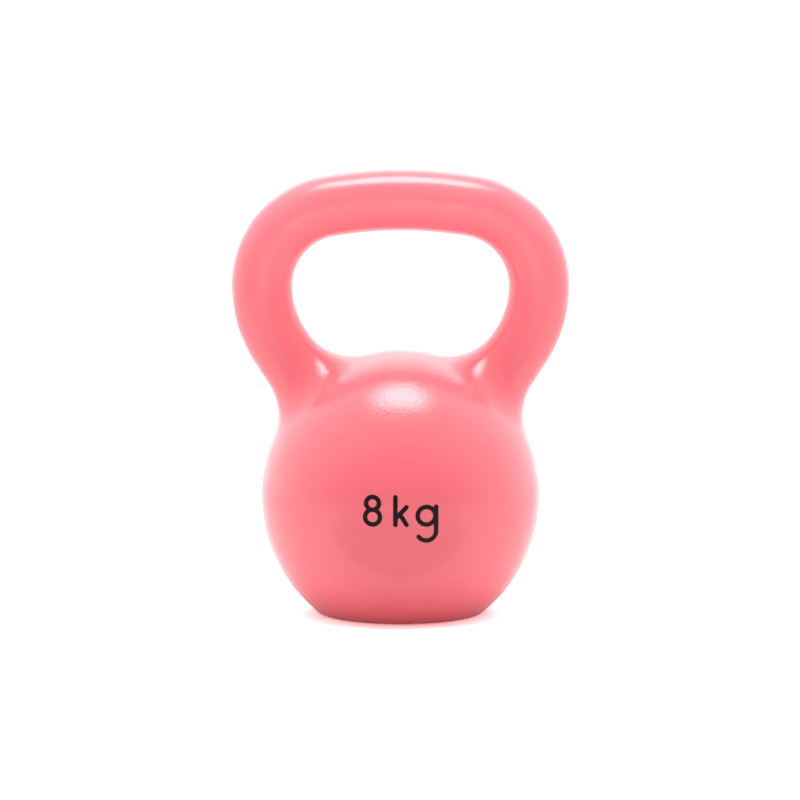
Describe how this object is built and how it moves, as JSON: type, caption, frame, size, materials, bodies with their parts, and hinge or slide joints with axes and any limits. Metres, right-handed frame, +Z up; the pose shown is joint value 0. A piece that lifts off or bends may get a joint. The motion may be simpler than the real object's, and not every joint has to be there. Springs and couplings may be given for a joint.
{
  "type": "kettlebell",
  "caption": "Cast iron kettlebell with a flat ground base, a looped round-bar handle, a pink powder coat and a printed weight mark.",
  "frame": {"origin": "centre of the ground flat base, where the bell meets the floor", "axes": "+Z up through the middle of the grip, +X along the grip, and the printed mark faces -Y"},
  "size_m": [0.1474, 0.1221, 0.194],
  "materials": {
    "cast_iron": "grey iron, sand cast and shot blasted, with the base ground flat and left bare",
    "pink_powder_coat": "gloss pink polyester powder, baked on, with a faint orange peel",
    "black_ink": "satin black pad-printed ink"
  },
  "bodies": {
    "root": {"iron_casting": "cast_iron", "powder_coat": "pink_powder_coat", "weight_mark": "black_ink"}
  },
  "joints": []
}
